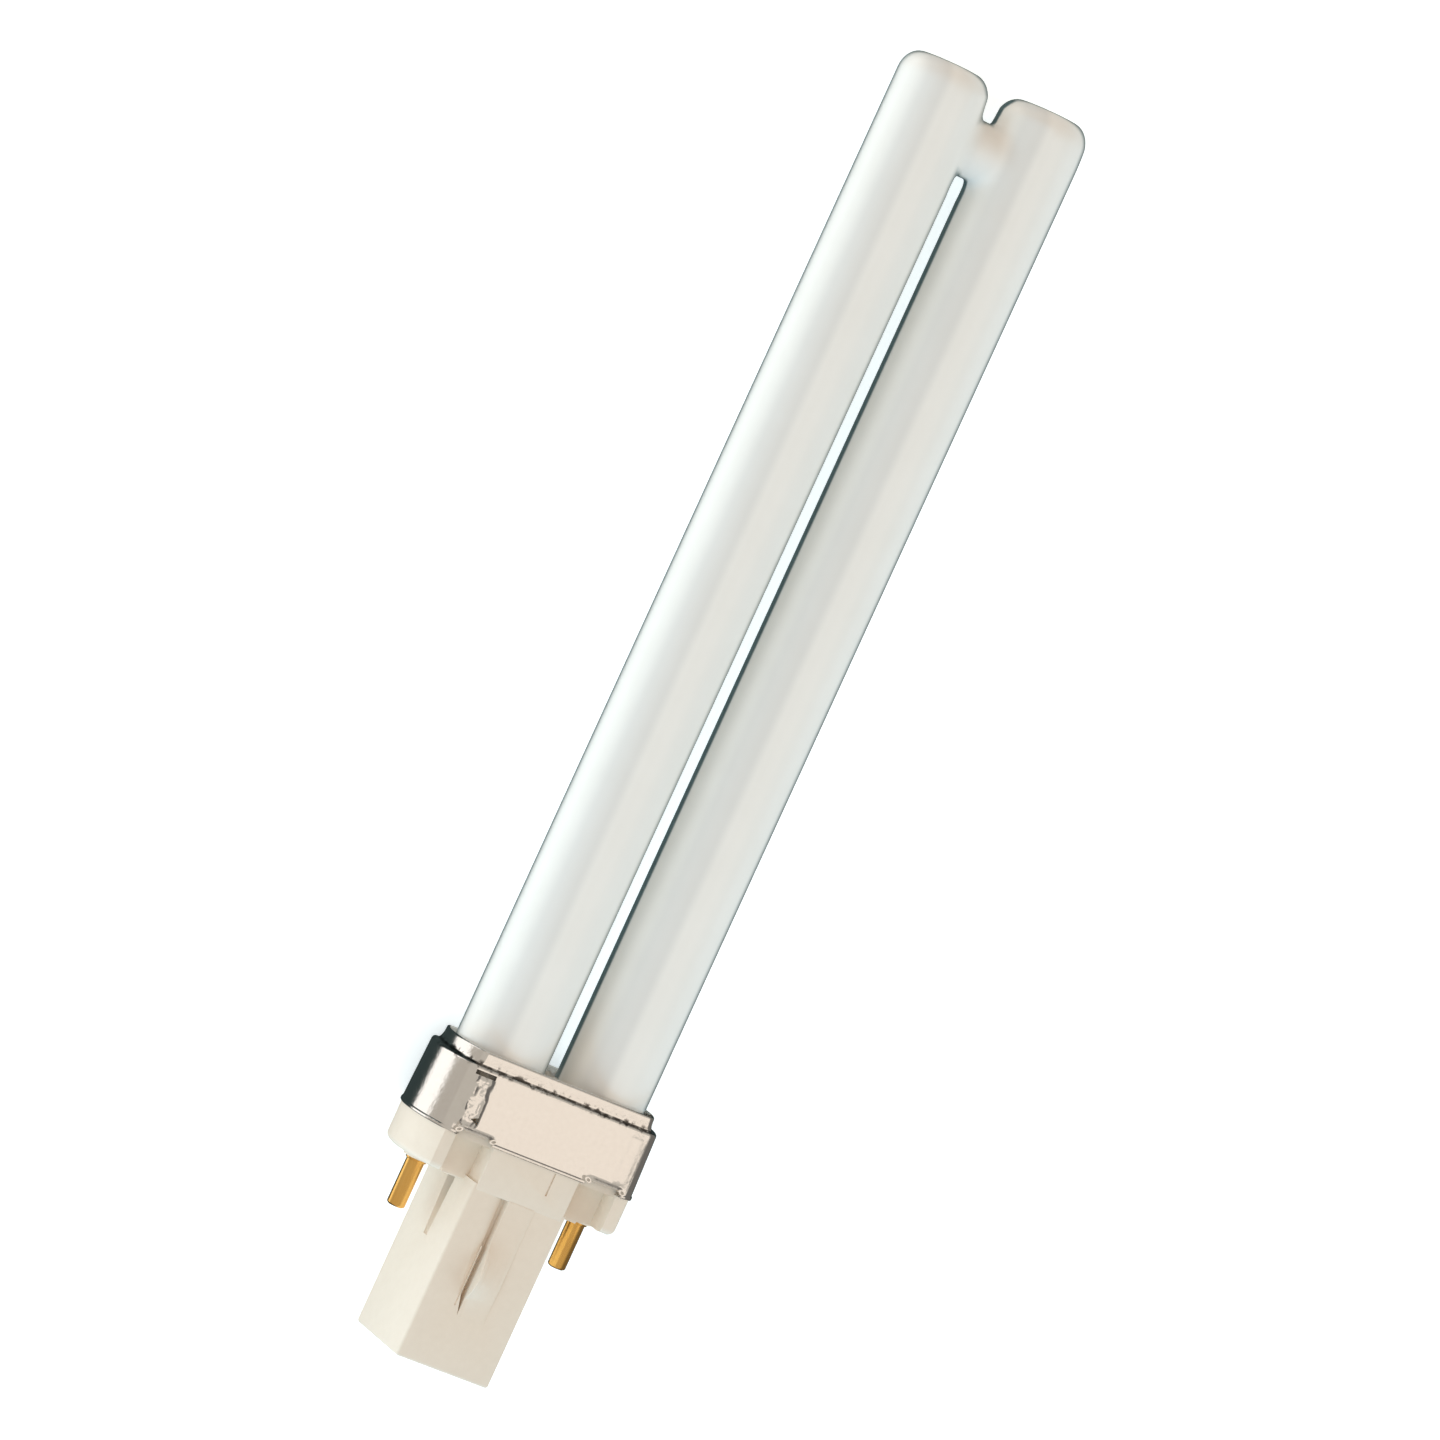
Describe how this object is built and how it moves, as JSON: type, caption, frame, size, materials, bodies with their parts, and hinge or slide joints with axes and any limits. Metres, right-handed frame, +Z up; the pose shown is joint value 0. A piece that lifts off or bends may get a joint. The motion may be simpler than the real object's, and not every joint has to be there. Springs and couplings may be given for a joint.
{
  "type": "twin tube compact fluorescent lamp",
  "caption": "Compact fluorescent lamp: U shaped white discharge tube in a crimped metal collar on a moulded plug-in base with contact pins and a starter post.",
  "frame": {"origin": "centre of the laid lamp's box, at the height of the table it rests on", "axes": "+X from the left pin to the right pin, +Y along the lamp towards its tips, +Z up, away from the table"},
  "size_m": [0.031, 0.1672, 0.017],
  "materials": {
    "discharge_tube": "gloss",
    "metal_collar": "satin",
    "capping_cement": "matt",
    "base_housing": "semi gloss",
    "contact_pins": "polished",
    "starter_bulb": "clear",
    "capacitor": "dipped",
    "ferrules": "plain",
    "lead_wires": "drawn"
  },
  "bodies": {
    "root": {"discharge_tube": "discharge_tube", "metal_collar": "metal_collar", "capping_cement": "capping_cement", "base_housing": "base_housing", "contact_pin_left": "contact_pins", "contact_pin_right": "contact_pins", "starter_bulb": "starter_bulb", "suppression_capacitor": "capacitor", "crimp_ferrule_left": "ferrules", "crimp_ferrule_right": "ferrules", "pin_lead_left": "lead_wires", "starter_feed_left": "lead_wires", "starter_lead_left": "lead_wires", "capacitor_lead_left": "lead_wires", "pin_lead_right": "lead_wires", "starter_feed_right": "lead_wires", "starter_lead_right": "lead_wires", "capacitor_lead_right": "lead_wires"}
  },
  "joints": []
}
